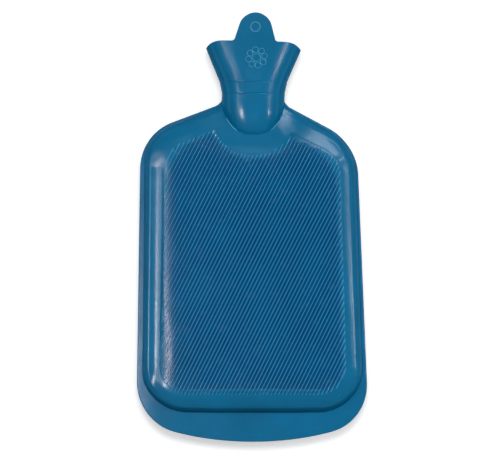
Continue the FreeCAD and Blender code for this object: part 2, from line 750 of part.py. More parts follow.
line_cuts = []
for number, (station, flat) in enumerate(
    [(LOWER_LINE, size("neck_flat")), (UPPER_LINE, size("collar_flat"))], start=1
):
    name = f"MouldedLine{number}"
    band = block(
        name + "Band",
        "0",
        f"({station} - {size('line_width')} / 2)",
        SEAM_HEIGHT,
        size("line_span"),
        size("line_width"),
        f"{NECK_HALF_DEPTH} + {CLEAR}",
    )
    core = oval_bar(
        name + "Core",
        flat,
        f"({NECK_HALF_DEPTH} - {size('line_depth')})",
        f"({station} - {size('line_width')})",
        f"2 * {size('line_width')}",
    )
    line_cuts.append(cut(name, band, core))

# The bottle's moulding.

moulding = fuse(
    "Moulding",
    [cushion_skin, seam_lip, neck, funnel, hanging_tab, eye_ring],
)
hollowed = cut("HollowedMoulding", moulding, fuse("Removed", [hollows, *line_cuts]))
bottle_body = doc.addObject("Part::MultiFuse", "BottleBody")
bottle_body.Shapes = [hollowed, ribs]
bottle_body.Label = "bottle_body"

# Threads, in the closure's own frame: its axis is Z and the socket's top face is at 0.


def thread(name, root, crest, bottom, height):
    """A ridge that climbs round the screw axis, from the root radius to the crest radius."""
    helix = doc.addObject("Part::Helix", name + "Path")
    helix.LocalCoord = "Right-handed"
    helix.SegmentLength = 0
    bind(helix, Pitch=size("thread_pitch"), Height=height, Radius=root)
    bind(helix, Placement__Base__z=bottom)
    outwards = 1 if value(crest) > value(root) else -1
    half_top = f"({size('thread_crest')} / 2)"
    half_root = f"({half_top} + {size('thread_flare')})"
    buried = f"({root} - {outwards * BITE})"
    corners = [
        (buried, f"({bottom} - {half_root})", None),
        (root, f"({bottom} - {half_root})", None),
        (crest, f"({bottom} - {half_top})", None),
        (crest, f"({bottom} + {half_top})", None),
        (root, f"({bottom} + {half_root})", None),
        (buried, f"({bottom} + {half_root})", None),
    ]
    section = outline(name + "Section", corners, mirrored=False)
    section.Placement.Rotation = Rotation(Vector(1, 0, 0), 90)
    ridge = doc.addObject("Part::Sweep", name)
    ridge.Sections = [section]
    doc.recompute()
    ridge.Spine = (helix, [f"Edge{n}" for n in range(1, len(helix.Shape.Edges) + 1)])
    ridge.Solid = True
    ridge.Frenet = True
    return ridge


def place_closure(piece):
    """Puts a piece of the closure on the neck's axis, with its top towards the mouth."""
    piece.Placement.Rotation = Rotation(Vector(1, 0, 0), -90)
    bind(piece, Placement__Base__y=f"{SEAT} - {MIDDLE}")
    return bind(piece, Placement__Base__z=SEAM_HEIGHT)


# The brass socket.

socket_solid = fuse(
    "SocketSolid",
    [
        cylinder_z("SocketBarrel", SOCKET_BARREL, f"-{SOCKET_LENGTH}", SOCKET_LENGTH),
        cylinder_z(
            "SocketRim",
            SOCKET_RIM,
            f"-{size('socket_rim_thickness')}",
            size("socket_rim_thickness"),
        ),
        cylinder_z(
            "SocketKey", SOCKET_KEY, f"{KEY_STATION} - {SEAT}", size("socket_key_width")
        ),
    ],
)
socket_shell = cut(
    "SocketShell",
    socket_solid,
    cylinder_z(
        "SocketBore",
        SOCKET_BORE,
        f"-{SOCKET_LENGTH} - {CLEAR}",
        f"{SOCKET_LENGTH} + 2 * {CLEAR}",
    ),
)
socket_thread = thread(
    "SocketThread",
    SOCKET_BORE,
    SOCKET_CREST,
    f"(-{SOCKET_THREAD_BOTTOM})",
    f"{SOCKET_THREAD_BOTTOM} - {size('socket_entry')}",
)
neck_insert = place_closure(fuse("NeckInsert", [socket_shell, socket_thread], False))
neck_insert.Label = "neck_insert"

# The sealing washer.

washer = place_closure(
    cut(
        "Washer",
        cylinder_z("WasherDisc", WASHER_RIM, "0", size("washer_thickness")),
        cylinder_z(
            "WasherHole", WASHER_HOLE, f"-{CLEAR}", f"{size('washer_thickness')} + 2 * {CLEAR}"
        ),
    )
)
washer.Label = "washer"

# The stopper: shank, thread, flange and grip.

flange_disc = cylinder_z(
    "FlangeDisc",
    f"{size('flange_diameter')} / 2",
    size("washer_thickness"),
    size("flange_thickness"),
)
flange = work_edges(
    "Flange",
    BEVEL,
    flange_disc,
    lambda edge: value(size("flange_bevel")) if edge.Closed else None,
)
shank = cylinder_z(
    "Shank",
    THREAD_CORE,
    f"-{SHANK_BOTTOM}",
    f"{SHANK_BOTTOM} + {size('washer_thickness')} + {BITE}",
)
GRIP_FOOT = f"({size('washer_thickness')} + {size('flange_thickness')})"
GRIP_TOP = f"({GRIP_FOOT} + {size('grip_height')})"
GRIP_BURIED = f"({GRIP_FOOT} - {size('flange_thickness')} / 2)"
GRIP_HALF = f"({size('flange_diameter')} / 2)"
grip_sketch = outline(
    "GripOutline",
    [
        (f"({size('grip_foot_width')} / 2)", GRIP_BURIED, None),
        (
            f"({size('grip_foot_width')} / 2)",
            f"({GRIP_FOOT} + {size('grip_waist')})",
            size("grip_foot_radius"),
        ),
        (GRIP_HALF, f"({GRIP_TOP} - {size('grip_shoulder')})", size("grip_corner")),
        (GRIP_HALF, GRIP_TOP, size("grip_corner")),
    ],
)
grip_sketch.Placement.Rotation = Rotation(Vector(1, 0, 0), 90)
bind(grip_sketch, Placement__Base__y=f"{size('grip_thickness')} / 2")
grip_blank = doc.addObject("Part::Extrusion", "GripBlank")
grip_blank.Base = grip_sketch
grip_blank.DirMode = "Custom"
grip_blank.Dir = Vector(0, -1, 0)
grip_blank.Solid = True
bind(grip_blank, LengthFwd=size("grip_thickness"))


def grip_bevel(edge):
    """The bevel along the grip's two outlines, but not where the grip is buried in the flange."""
    face = value(f"{size('grip_thickness')} / 2")
    if lies_at(edge, 2, value(GRIP_BURIED)):
        return None
    if lies_at(edge, 1, face) or lies_at(edge, 1, -face):
        return value(size("grip_bevel"))
    return None


grip = work_edges("Grip", BEVEL, grip_blank, grip_bevel)
stopper_blank = fuse("StopperBlank", [flange, shank, grip])
stopper_turned = cut(
    "StopperTurned",
    stopper_blank,
    cylinder_z(
        "ShankBore",
        f"{size('shank_bore')} / 2",
        f"-{SHANK_BOTTOM} - {CLEAR}",
        f"{SHANK_BOTTOM} + {CLEAR}",
    ),
)
stopper_thread = thread(
    "StopperThread", THREAD_CORE, THREAD_CREST, f"(-{THREAD_BOTTOM})", THREAD_LENGTH
)
stopper = place_closure(fuse("Stopper", [stopper_turned, stopper_thread], False))
stopper.Label = "stopper"

# Checks and export.

doc.recompute()
for thing in doc.Objects:
    bad = [state for state in thing.State if state in ("Invalid", "Error")]
    if bad:
        raise RuntimeError(f"{thing.Name} is {bad}")
    if hasattr(thing, "Shape"):
        if thing.Shape.isNull() or not thing.Shape.isValid():
            raise RuntimeError(f"{thing.Name} has no sound shape")

os.makedirs("parts", exist_ok=True)
for piece in (bottle_body, neck_insert, washer, stopper):
    solids = len(piece.Shape.Solids)
    if solids != 1:
        raise RuntimeError(f"{piece.Label} came out as {solids} solids")
    piece.Shape.exportStep(f"parts/{piece.Label}.step")
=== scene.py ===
"""A two-litre rubber hot water bottle that lies on its back, seen from straight above."""

import math

import bmesh
import bpy
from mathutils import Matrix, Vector


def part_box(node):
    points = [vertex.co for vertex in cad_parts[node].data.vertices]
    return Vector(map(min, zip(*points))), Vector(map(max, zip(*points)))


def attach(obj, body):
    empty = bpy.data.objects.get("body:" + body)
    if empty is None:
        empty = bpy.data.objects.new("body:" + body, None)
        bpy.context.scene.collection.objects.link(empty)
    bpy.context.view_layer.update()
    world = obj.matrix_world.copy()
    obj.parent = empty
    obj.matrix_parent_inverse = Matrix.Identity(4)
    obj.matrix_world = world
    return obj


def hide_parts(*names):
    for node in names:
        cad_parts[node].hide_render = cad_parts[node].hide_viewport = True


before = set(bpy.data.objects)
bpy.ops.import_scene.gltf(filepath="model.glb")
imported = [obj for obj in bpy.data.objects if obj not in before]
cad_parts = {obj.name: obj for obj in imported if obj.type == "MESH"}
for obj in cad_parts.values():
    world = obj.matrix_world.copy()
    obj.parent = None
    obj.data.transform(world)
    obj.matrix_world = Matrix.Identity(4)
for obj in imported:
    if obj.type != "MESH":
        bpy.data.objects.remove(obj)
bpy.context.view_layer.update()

# The maker's sizes, in millimetres. A station is measured up the bottle from the apron's foot, and a
# height from the surface that the bottle lies on.
MM = 0.001
TAB_TOP = 371.0
LIP = 346.8
UPPER_LINE = 311.5
LOWER_LINE = 301.5
NECK_ROOT = 292.1
SHOULDER = 262.1
CUSHION_FOOT = 24.7
NOSE_END = 258.6
SEAM = 22.5
PANEL = 40.5
NECK_FRONT = 45.0
WALL = 3.0
TINY = 0.02 * MM

body_low, body_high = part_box("bottle_body")
insert_low, insert_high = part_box("neck_insert")


def along(station):
    """A station's place on the Y axis, in metres."""
    return body_high.y - (TAB_TOP - station) * MM


def place(x, station, height):
    """A point in the frame from sizes in millimetres."""
    return Vector((x * MM, along(station), height * MM))


def station_of(point):
    """The station of a point in the frame."""
    return TAB_TOP - (body_high.y - point.y) / MM


def ease(value, start, end):
    """A smooth step from 0 at start to 1 at end."""
    share = min(max((value - start) / (end - start), 0.0), 1.0)
    return share * share * (3 - 2 * share)


def read_table(table, at):
    """A table's value at a place, straight between its rows."""
    for (low, first), (high, last) in zip(table, table[1:]):
        if at <= high:
            return first + (last - first) * max(at - low, 0.0) / (high - low)
    return table[-1][1]


# Small tools for modelling by hand.


def add(primitive, name, **settings):
    """Adds a primitive with nothing else selected, and opens it for editing."""
    bpy.ops.object.select_all(action="DESELECT")
    primitive(**settings)
    piece = bpy.context.object
    piece.name = piece.data.name = name
    bpy.ops.object.transform_apply(location=True, rotation=True, scale=True)
    bpy.ops.object.mode_set(mode="EDIT")
    return piece


def middle(part):
    """The middle of a vertex, an edge or a face."""
    if isinstance(part, bmesh.types.BMVert):
        return part.co.copy()
    corners = [vertex.co for vertex in part.verts]
    return sum(corners, Vector()) / len(corners)


def choose(kind, test):
    """Selects the vertices, edges or faces that pass a test on their middle and themselves."""
    modes = ("VERT", "EDGE", "FACE")
    bpy.context.tool_settings.mesh_select_mode = [kind == mode for mode in modes]
    bpy.ops.mesh.select_all(action="DESELECT")
    mesh = bmesh.from_edit_mesh(bpy.context.object.data)
    for part in (mesh.verts, mesh.edges, mesh.faces)[modes.index(kind)]:
        if test(middle(part), part):
            part.select_set(True)
    mesh.select_flush_mode()
    bmesh.update_edit_mesh(bpy.context.object.data)


def move(x=0.0, y=0.0, z=0.0):
    bpy.ops.transform.translate(value=(x * MM, y * MM, z * MM))


def stretch(x, y, z, centre):
    bpy.ops.transform.resize(value=(x, y, z), center_override=centre)


def extrude(x=0.0, y=0.0, z=0.0):
    """Extrudes what is selected, and moves the new end in millimetres."""
    way = {"value": (x * MM, y * MM, z * MM)}
    bpy.ops.mesh.extrude_region_move(TRANSFORM_OT_translate=way)


def close(piece, smooth_below=40):
    """Ends the editing: faces point outwards, and only sharp edges stay sharp."""
    bpy.ops.mesh.select_all(action="SELECT")
    bpy.ops.mesh.remove_doubles(threshold=TINY / 4)
    bpy.ops.mesh.normals_make_consistent(inside=False)
    bpy.ops.object.mode_set(mode="OBJECT")
    bpy.ops.object.shade_smooth_by_angle(angle=math.radians(smooth_below))
    return piece


def finish_with(piece, kind, **settings):
    """Adds a modifier with its settings, and applies it."""
    modifier = piece.modifiers.new(kind.title(), kind)
    for name, setting in settings.items():
        setattr(modifier, name, setting)
    bpy.context.view_layer.objects.active = piece
    bpy.ops.object.modifier_apply(modifier=modifier.name)


def half_opening(before, corner, after):
    """Half the angle between a corner's two edges."""
    return (Vector(before) - Vector(corner)).angle(Vector(after) - Vector(corner)) / 2


def flat_plan(name, corners, height, bow=(0.0, 0.0)):
    """One flat face with rounded corners, the same on the left as on the right.

    corners holds (half width, station, radius) from the foot up. bow is how far the middle of the foot
    lies below its corners, and how far along the foot its curve reaches.
    """
    piece = add(bpy.ops.mesh.primitive_plane_add, name, size=2 * MM, location=(0, 0, height * MM))
    for side, (half, station, _) in zip((-1, 1), corners):
        choose("VERT", lambda at, _: at.y * side > 0)
        stretch(half, 1, 1, (0, 0, height * MM))
        bpy.ops.transform.translate(value=(0, along(station) - side * MM, 0))
    for (low_half, low, _), (half, station, _) in zip(corners[1:], corners[2:]):
        at_end = along(low)
        if low == corners[1][1]:
            choose("VERT", lambda at, _: abs(at.y - at_end) < TINY)
        extrude(y=station - low)
        stretch(half / low_half, 1, 1, place(0, station, height))
    choose("FACE", lambda at, _: True)
    bpy.ops.mesh.dissolve_faces()
    drop, curve_reach = bow
    foot_half, foot, _ = corners[0]
    if drop:
        choose("EDGE", lambda at, _: abs(at.y - along(foot)) < TINY)
        bpy.ops.mesh.subdivide(number_cuts=1)
        choose("VERT", lambda at, _: abs(at.x) < TINY and abs(at.y - along(foot)) < TINY)
        move(y=-drop)
        half_angle = half_opening((-foot_half, foot), (0.0, foot - drop), (foot_half, foot))
        round_corner([0.0], foot - drop, curve_reach, half_angle)
    points = [(0.0, foot - drop)] + [(half, station) for half, station, _ in corners]
    points.append((-corners[-1][0], corners[-1][1]))
    for before, (half, station, radius), after in zip(points, corners, points[2:]):
        if radius:
            half_angle = half_opening(before, (half, station), after)
            round_corner([half, -half], station, radius / math.tan(half_angle), half_angle)
    return piece


def round_corner(sides, station, reach, half_angle):
    """Rounds a flat outline's corners at a station, from a reach before each to a reach after it.

    The bevel's own profile is an arc only at a right angle, so its value follows the corner's angle.
    """
    choose(
        "VERT",
        lambda at, _: abs(at.y - along(station)) < TINY
        and any(abs(at.x - side * MM) < TINY for side in sides),
    )
    bpy.ops.mesh.bevel(
        offset=reach * MM,
        affect="VERTICES",
        segments=18,
        profile=(1 - 0.5 / (1 + math.sin(half_angle))) ** 2,
        clamp_overlap=False,
    )


def roll_edge(width, rise, steps=12):
    """Rolls the edge of the selected face over: in by a width while it moves out by a rise."""
    done_width = done_rise = 0.0
    for step in range(1, steps + 1):
        turn = math.radians(90) * step / steps
        reach_in, reach_out = width * (1 - math.cos(turn)), rise * math.sin(turn)
        bpy.ops.mesh.inset(
            thickness=(reach_in - done_width) * MM, depth=(reach_out - done_rise) * MM
        )
        done_width, done_rise = reach_in, reach_out


# Materials. Colours are written as they look on screen.


def colour(code):
    """A screen colour such as 17688f as linear light."""
    parts = [int(code[n : n + 2], 16) / 255 for n in (0, 2, 4)]
    return [p / 12.92 if p < 0.04045 else ((p + 0.055) / 1.055) ** 2.4 for p in parts] + [1.0]


def node(material, kind, inputs=None, **settings):
    """Adds a node with its settings. inputs holds values, or other nodes' outputs to link."""
    made = material.node_tree.nodes.new("ShaderNode" + kind)
    for name, setting in settings.items():
        setattr(made, name, setting)
    for socket, value in (inputs or {}).items():
        if isinstance(value, bpy.types.NodeSocket):
            material.node_tree.links.new(value, made.inputs[socket])
        else:
            made.inputs[socket].default_value = value
    return made


def blank_material(name):
    material = bpy.data.materials.new(name)
    material.use_nodes = True
    material.node_tree.nodes.clear()
    return material


def surface(material, **inputs):
    """The material's shader. Names are the shader's sockets with underscores for spaces."""
    sockets = {name.replace("_", " "): value for name, value in inputs.items()}
    shader = node(material, "BsdfPrincipled", sockets)
    node(material, "OutputMaterial", {"Surface": shader.outputs[0]})
    return material


def moulded_rubber(name, dark, light, roughness=(0.3, 0.4), shine=0.32, rim=None, crest_highlight=None):
    """Natural rubber, pressed in a steel mould: even colour, satin gloss, a faint grain.

    The eye sees slow, cloudy changes of tone from the bloom on the rubber, highlights whose edges waver
    because the skin isn't flat, and a fine grain from the mould. Where rim is given, the colour fades
    to it over the ribbed area's last 5.5 mm, and the gloss to about the plain rubber's over 14 mm, so
    that the ribbed area's darker colour, which is painted shade, dies out at its rim. Where a crest
    colour is given, surfaces that face up take it as a painted highlight on the ribs' tops, and their
    sides keep the darker colour as painted shade.
    """
    material = blank_material(name)
    spot = node(material, "TexCoord").outputs["Object"]
    # Bloom in clouds of about 30 mm.
    cloud = node(material, "TexNoise", {"Vector": spot, "Scale": 1 / (30 * MM), "Detail": 4.0})
    tone = node(
        material,
        "MapRange",
        {"Value": cloud.outputs["Fac"], "From Min": 0.3, "From Max": 0.7},
    )
    body = node(
        material,
        "Mix",
        {0: tone.outputs[0], 6: colour(dark), 7: colour(light)},
        data_type="RGBA",
    )
    paint, gleam = body.outputs[2], shine
    if rim:
        distance = node(material, "Attribute", attribute_name="rim_distance").outputs["Fac"]
        inside = node(material, "MapRange", {"Value": distance, "From Min": 0.0, "From Max": 5.5})
        faded = node(
            material, "Mix", {0: inside.outputs[0], 6: colour(rim), 7: paint}, data_type="RGBA"
        )
        paint = faded.outputs[2]
        fading = node(
            material,
            "MapRange",
            {"Value": distance, "From Max": 14.0, "To Min": 0.34, "To Max": shine},
        )
        gleam = fading.outputs[0]
    facing = node(material, "NewGeometry").outputs["Normal"]
    upward = node(material, "SeparateXYZ", {"Vector": facing}).outputs["Z"]
    # Surfaces that face up take the lighter crest colour: a painted highlight on the ribs' tops.
    if crest_highlight:
        top = node(material, "MapRange", {"Value": upward, "From Min": 0.8, "From Max": 0.97})
        painted_top_highlight = node(
            material, "Mix", {0: top.outputs[0], 6: paint, 7: colour(crest_highlight)}, data_type="RGBA"
        )
        paint = painted_top_highlight.outputs[2]
    # The steep side walls are dull, as if they had dragged along the mould.
    drag = node(
        material, "MapRange", {"Value": upward, "From Min": 0.6, "From Max": 0.85, "To Min": 0.03}
    )
    gleam = node(material, "Math", {0: drag.outputs[0], 1: gleam}, operation="MULTIPLY").outputs[0]
    # Patches of about 9 mm where the skin is a little duller.
    patch = node(material, "TexNoise", {"Vector": spot, "Scale": 1 / (9 * MM), "Detail": 3.0})
    dull = node(
        material,
        "MapRange",
        {
            "Value": patch.outputs["Fac"],
            "From Min": 0.35,
            "From Max": 0.65,
            "To Min": roughness[0],
            "To Max": roughness[1],
        },
    )
    # The skin's slow waves, about 22 mm long and 0.1 mm deep.
    wave = node(material, "TexNoise", {"Vector": spot, "Scale": 1 / (22 * MM), "Detail": 1.5})
    waver = node(
        material, "Bump", {"Height": wave.outputs["Fac"], "Strength": 1.0, "Distance": 0.25 * MM}
    )
    # The mould's grain, really about 0.2 mm and drawn at 0.7 mm so that it shows.
    grit = node(material, "TexNoise", {"Vector": spot, "Scale": 1 / (0.7 * MM), "Detail": 2.0})
    grain = node(
        material,
        "Bump",
        {
            "Height": grit.outputs["Fac"],
            "Strength": 1.0,
            "Distance": 0.012 * MM,
            "Normal": waver.outputs[0],
        },
    )
    return surface(
        material,
        Base_Color=paint,
        Roughness=dull.outputs[0],
        IOR=1.52,
        Specular_IOR_Level=gleam,
        Normal=grain.outputs[0],
    )


def turned_brass():
    """Brass turned on a lathe: yellow metal, fine rings round its axis, a little tarnish."""
    material = blank_material("turned_brass")
    spot = node(material, "TexCoord").outputs["Object"]
    tarnish = node(material, "TexNoise", {"Vector": spot, "Scale": 1 / (6 * MM), "Detail": 4.0})
    tint = node(
        material,
        "Mix",
        {0: tarnish.outputs["Fac"], 6: colour("a8813c"), 7: colour("cfae62")},
        data_type="RGBA",
    )
    # Tool marks really 0.15 mm apart, drawn at 0.5 mm. The wave's own scale is a twentieth of a turn.
    rings = node(
        material,
        "TexWave",
        {"Vector": spot, "Scale": math.tau / 20 / (0.5 * MM), "Distortion": 0.4},
        bands_direction="Y",
    )
    marks = node(material, "Bump", {"Height": rings.outputs["Fac"], "Distance": 0.01 * MM})
    return surface(
        material, Base_Color=tint.outputs[2], Metallic=1.0, Roughness=0.3, Normal=marks.outputs[0]
    )


def moulded_plastic():
    """Injection-moulded polypropylene: off-white, satin, with the cloudy depth of that plastic."""
    material = blank_material("moulded_polypropylene")
    spot = node(material, "TexCoord").outputs["Object"]
    cloud = node(material, "TexNoise", {"Vector": spot, "Scale": 1 / (8 * MM), "Detail": 3.0})
    tint = node(
        material,
        "Mix",
        {0: cloud.outputs["Fac"], 6: colour("ddd4bf"), 7: colour("ebe4d3")},
        data_type="RGBA",
    )
    spark = node(material, "TexNoise", {"Vector": spot, "Scale": 1 / (0.4 * MM)})
    sparks = node(material, "Bump", {"Height": spark.outputs["Fac"], "Distance": 0.01 * MM})
    return surface(
        material,
        Base_Color=tint.outputs[2],
        Roughness=0.36,
        IOR=1.49,
        Subsurface_Weight=0.08,
        Subsurface_Scale=2 * MM,
        Normal=sparks.outputs[0],
    )


SMOOTH_RUBBER = moulded_rubber("moulded_rubber_skin", "006893", "0071a0", (0.2, 0.27))
RAISED_RUBBER = moulded_rubber("moulded_rubber_raised", "3c95be", "429bc4")
# A pale blue: a painted highlight for the thin bright lines along the crease round the nose.
CREASE_HIGHLIGHT_RUBBER = moulded_rubber("moulded_rubber_crease_highlight", "58a6c8", "64aecf")
# The floor between the ribs is painted darker than the skin: painted shade in the grooves, faded out
# towards the ribbed area's rim.
GROOVE_SHADE_RUBBER = moulded_rubber(
    "moulded_rubber_groove_painted_shade", "004a78", "005484", (0.21, 0.28), 0.12, rim="006c99"
)
# The ribs are painted darker than the skin on their sides as painted shade, and lighter on their tops as
# a painted highlight.
RIB_LIGHT_AND_SHADE_RUBBER = moulded_rubber(
    "moulded_rubber_ribs_painted_light", "004f7e", "005a8a", (0.2, 0.27), 0.32, rim="006c99", crest_highlight="3497c9"
)
WASHER_RUBBER = moulded_rubber("moulded_rubber_washer", "171717", "232323", (0.5, 0.62))


def dress(piece, material, body="bottle"):
    """Gives a piece its finish and the body that it moves with."""
    piece.data.materials.clear()
    piece.data.materials.append(material)
    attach(piece, body)
    return piece


# The cushion.

DOME = 1.8
NECK_HOLLOW = 9.0
PANEL_MIDDLE = (CUSHION_FOOT + SHOULDER) / 2
PANEL_REACH = (SHOULDER - CUSHION_FOOT) / 2 + 8
PANEL_HALF = 80.0


def dome(x, y):
    """How far the full bottle's front swells at a point of the panel, in metres."""
    across = min(abs(x) / (PANEL_HALF * MM), 1.0)
    up = min(abs(y - along(PANEL_MIDDLE)) / (PANEL_REACH * MM), 1.0)
    return DOME * MM * math.cos(across * math.pi / 2) * math.cos(up * math.pi / 2)


def swell(piece, above):
    """Lifts what lies above a height by the dome."""
    for vertex in piece.data.vertices:
        if vertex.co.z > above * MM:
            vertex.co.z += dome(vertex.co.x, vertex.co.y)


def lay_grid(height, spacing, x_reach, low, high):
    """Cuts the flat faces at a height into a grid."""
    across = int(x_reach / spacing)
    lines = [(Vector((1, 0, 0)), n * spacing) for n in range(-across, across + 1)]
    lines += [(Vector((0, 1, 0)), low + n * spacing) for n in range(int((high - low) / spacing) + 1)]
    for normal, offset in lines:
        choose("FACE", lambda at, _: abs(at.z - height * MM) < TINY)
        point = place(offset, 0, height) if normal.x else place(0, offset, height)
        bpy.ops.mesh.bisect(plane_co=point, plane_no=normal, use_fill=False)


CUSHION = [
    (97.2, CUSHION_FOOT + 1.5, 39.5),
    (92.0, SHOULDER - 0.4, 44.0),
    (21.5, NECK_ROOT + 1.5, 0.0),
]
# Cuts up the whole cushion on either side, so that its shoulders can sag softly.
LONG_CUTS = [27, 34, 42, 50, 58, 66]

# The front's edge in section: how far in from the outline, and how high. A steep wall, a soft corner
# 7 mm in, and a slope that runs out under the ribs.
FRONT_EDGE = [
    (0.0, 24.5),
    (0.9, 28.5),
    (2.4, 32.0),
    (4.2, 34.9),
    (5.6, 36.4),
    (6.3, 36.95),
    (6.8, 37.2),
    (7.3, 37.4),
    (8.5, 37.95),
    (10.0, 38.65),
    (12.0, 39.4),
    (13.2, 39.72),
    (14.5, 40.0),
    (16.0, 40.2),
    (17.5, 40.35),
    (19.0, 40.45),
    (21.0, PANEL),
]


def make_cushion():
    """The hollow cushion: one outline, walled at the seam and rolled over to the front and the back."""
    piece = flat_plan("cushion", CUSHION, SEAM, bow=(1.5, 32.4))
    choose("FACE", lambda at, _: True)
    extrude(z=FRONT_EDGE[0][1] - SEAM)
    choose("FACE", lambda at, _: at.z > (FRONT_EDGE[0][1] - 0.1) * MM)
    for (last_in, last_up), (edge_in, edge_up) in zip(FRONT_EDGE, FRONT_EDGE[1:]):
        bpy.ops.mesh.inset(thickness=(edge_in - last_in) * MM, depth=(edge_up - last_up) * MM)
    choose("FACE", lambda at, _: abs(at.z - SEAM * MM) < TINY)
    extrude(z=-1.5)
    choose("FACE", lambda at, _: at.z < (SEAM - 1.4) * MM)
    roll_edge(20.0, SEAM - 1.5)
    lay_grid(PANEL, 4.0, 76.0, 31.0, 290.0)
    for x in [-cut for cut in reversed(LONG_CUTS)] + LONG_CUTS:
        bpy.ops.mesh.select_all(action="SELECT")
        bpy.ops.mesh.bisect(plane_co=place(x, 0, 0), plane_no=(1, 0, 0))
    close(piece)
    swell(piece, PANEL - 0.1)
    sink(piece)
    return piece


def sink(piece):
    """Sinks the front round the neck's root, so that the nose stands out of a hollow."""
    for vertex in piece.data.vertices:
        near = ease(station_of(vertex.co), 248, 290) * (1 - ease(abs(vertex.co.x) / MM, 18, 62))
        high = ease(vertex.co.z / MM, SEAM + 1, PANEL)
        vertex.co.z -= NECK_HOLLOW * near * high * MM


cushion = dress(make_cushion(), SMOOTH_RUBBER)


# The seam lip, which widens into the apron.


def make_seam_lip():
    corners = [
        (100.6, 16.5, 44.0),
        (93.7, SHOULDER, 45.7),
        (27.3, NECK_ROOT, 13.0),
        (25.1, LOWER_LINE, 0.0),
    ]
    thickness, edge = 2.8, 1.2
    piece = flat_plan("seam_lip", corners, SEAM - thickness / 2, bow=(25.4, 69.5))
    choose("FACE", lambda at, _: True)
    extrude(z=thickness)
    levels = [(SEAM + side * thickness / 2) * MM for side in (-1, 1)]
    choose("EDGE", lambda at, _: any(abs(at.z - z) < TINY for z in levels))
    bpy.ops.mesh.bevel(offset=edge * MM, segments=4, profile=0.5)
    return close(piece)


seam_lip = dress(make_seam_lip(), SMOOTH_RUBBER)


# The neck with its round nose, the funnel and the hanging tab.

HALF_STEP = math.radians(3.75)
NECK_RADIUS = NECK_FRONT - SEAM
NECK_FLAT = 9.6
COLLAR_FLAT = 13.8
MOUTH_FLAT = 43.2
TAB_FOOT_HALF = 18.0
TAB_TOP_HALF = 10.8
TAB_SHARE = TAB_FOOT_HALF / (MOUTH_FLAT / 2 + NECK_RADIUS * math.sin(HALF_STEP))
LIP_STRAIGHT = 25.0
LIP_DROP = 7.0
LIP_CURVE = 2.6
MOUTH_HALF = MOUTH_FLAT / 2 + NECK_RADIUS
PASSAGE_RADIUS = 13.0
EYE_STATION = 358.6
MARK_X = 2.6
MARK_STATION = 332.3


def next_ring(now, station, flat, radius):
    """Extrudes the selected oval ring up or down the neck, and gives it a new shape."""
    old_station, old_flat, old_radius = now
    extrude(y=station - old_station)
    scale = radius / old_radius
    centre = place(0, station, SEAM)
    stretch(scale, 1, scale, centre)
    return shift_halves(station, flat, radius, old_flat * scale)


def shift_halves(station, flat, radius, flat_now):
    """Moves the ring's two halves apart until the flats between them have their width."""
    ring = {v.index for v in bmesh.from_edit_mesh(bpy.context.object.data).verts if v.select}
    for side in (1, -1):
        choose("VERT", lambda at, v: v.index in ring and at.x * side > 0)
        move(x=side * (flat - flat_now) / 2)
    choose("VERT", lambda at, v: v.index in ring)
    return station, flat, radius


# The nose from its end up: (station, radius).
NOSE = [
    (NOSE_END - 2.0, 2.0),
    (NOSE_END, 6.0),
    (NOSE_END + 3.0, 10.6),
    (NOSE_END + 6.6, 14.4),
    (NOSE_END + 9.5, 16.8),
    (NOSE_END + 11.5, 17.9),
    (NOSE_END + 13.8, 18.9),
    (NOSE_END + 17.4, 20.1),
    (NOSE_END + 21.4, 21.1),
    (NOSE_END + 25.4, 21.85),
    (NOSE_END + 29.4, 22.3),
    (NOSE_END + 33.4, NECK_RADIUS),
]


def flat_at(station):
    """The flat's width at a station of the neck and the funnel. The nose narrows to a round."""
    if station < NECK_ROOT:
        return NECK_FLAT * min(max((station - NOSE_END + 2.0) / 24.0, 0.0), 1.0) ** 0.6
    if station <= LOWER_LINE:
        return NECK_FLAT
    if station <= UPPER_LINE:
        share = (station - LOWER_LINE) / (UPPER_LINE - LOWER_LINE)
        return NECK_FLAT + (COLLAR_FLAT - NECK_FLAT) * share
    return COLLAR_FLAT + (MOUTH_FLAT - COLLAR_FLAT) * (station - UPPER_LINE) / (LIP - UPPER_LINE)


def make_neck():
    """One skin: out over the nose, up the neck and the funnel, over the lip and down to the seat."""
    stations = [294.0]
    for line in (LOWER_LINE, UPPER_LINE):
        stations += [line + offset for offset in (-1.0, -0.45, 0.0, 0.45, 1.0)]
    stations += [318.0, 325.0, 332.0, 338.0, 342.5, LIP]
    outside = NOSE + [(station, NECK_RADIUS) for station in stations]
    start, radius = outside[0]
    piece = add(
        bpy.ops.mesh.primitive_circle_add,
        "neck_and_funnel",
        vertices=48,
        radius=radius * MM,
        fill_type="NGON",
        location=place(0, start, SEAM),
        rotation=(math.pi / 2, HALF_STEP, 0),
    )
    choose("VERT", lambda at, _: True)
    now = shift_halves(start, flat_at(start), radius, 0.0)
    choose("EDGE", lambda at, _: True)
    for station, radius in outside[1:]:
        now = next_ring(now, station, flat_at(station), radius)
    inside = NECK_RADIUS - WALL
    now = next_ring(now, LIP, MOUTH_FLAT, inside)
    for station in (342.5, 338.0, 332.0, 325.0, 318.0, UPPER_LINE, LOWER_LINE):
        now = next_ring(now, station, flat_at(station), inside)
    # The seat of the brass socket's rim, and the passage below it.
    seat = (insert_high.x - insert_low.x) / 2 / MM + 0.02
    seat_floor = LOWER_LINE - 2.3
    now = next_ring(now, LOWER_LINE, 0.0, seat)
    now = next_ring(now, seat_floor, 0.0, seat)
    now = next_ring(now, seat_floor, 0.0, PASSAGE_RADIUS)
    now = next_ring(now, NECK_ROOT - 6.0, 0.0, PASSAGE_RADIUS)
    bpy.ops.mesh.edge_face_add()
    split_flats()
    raise_tab()
    press_lines()
    pillow_funnel()
    drop_lip()
    close(piece)
    finish_with(piece, "BEVEL", width=1.3 * MM, segments=4, limit_method="ANGLE", angle_limit=0.8)
    bpy.ops.object.shade_smooth_by_angle(angle=math.radians(40))
    return piece


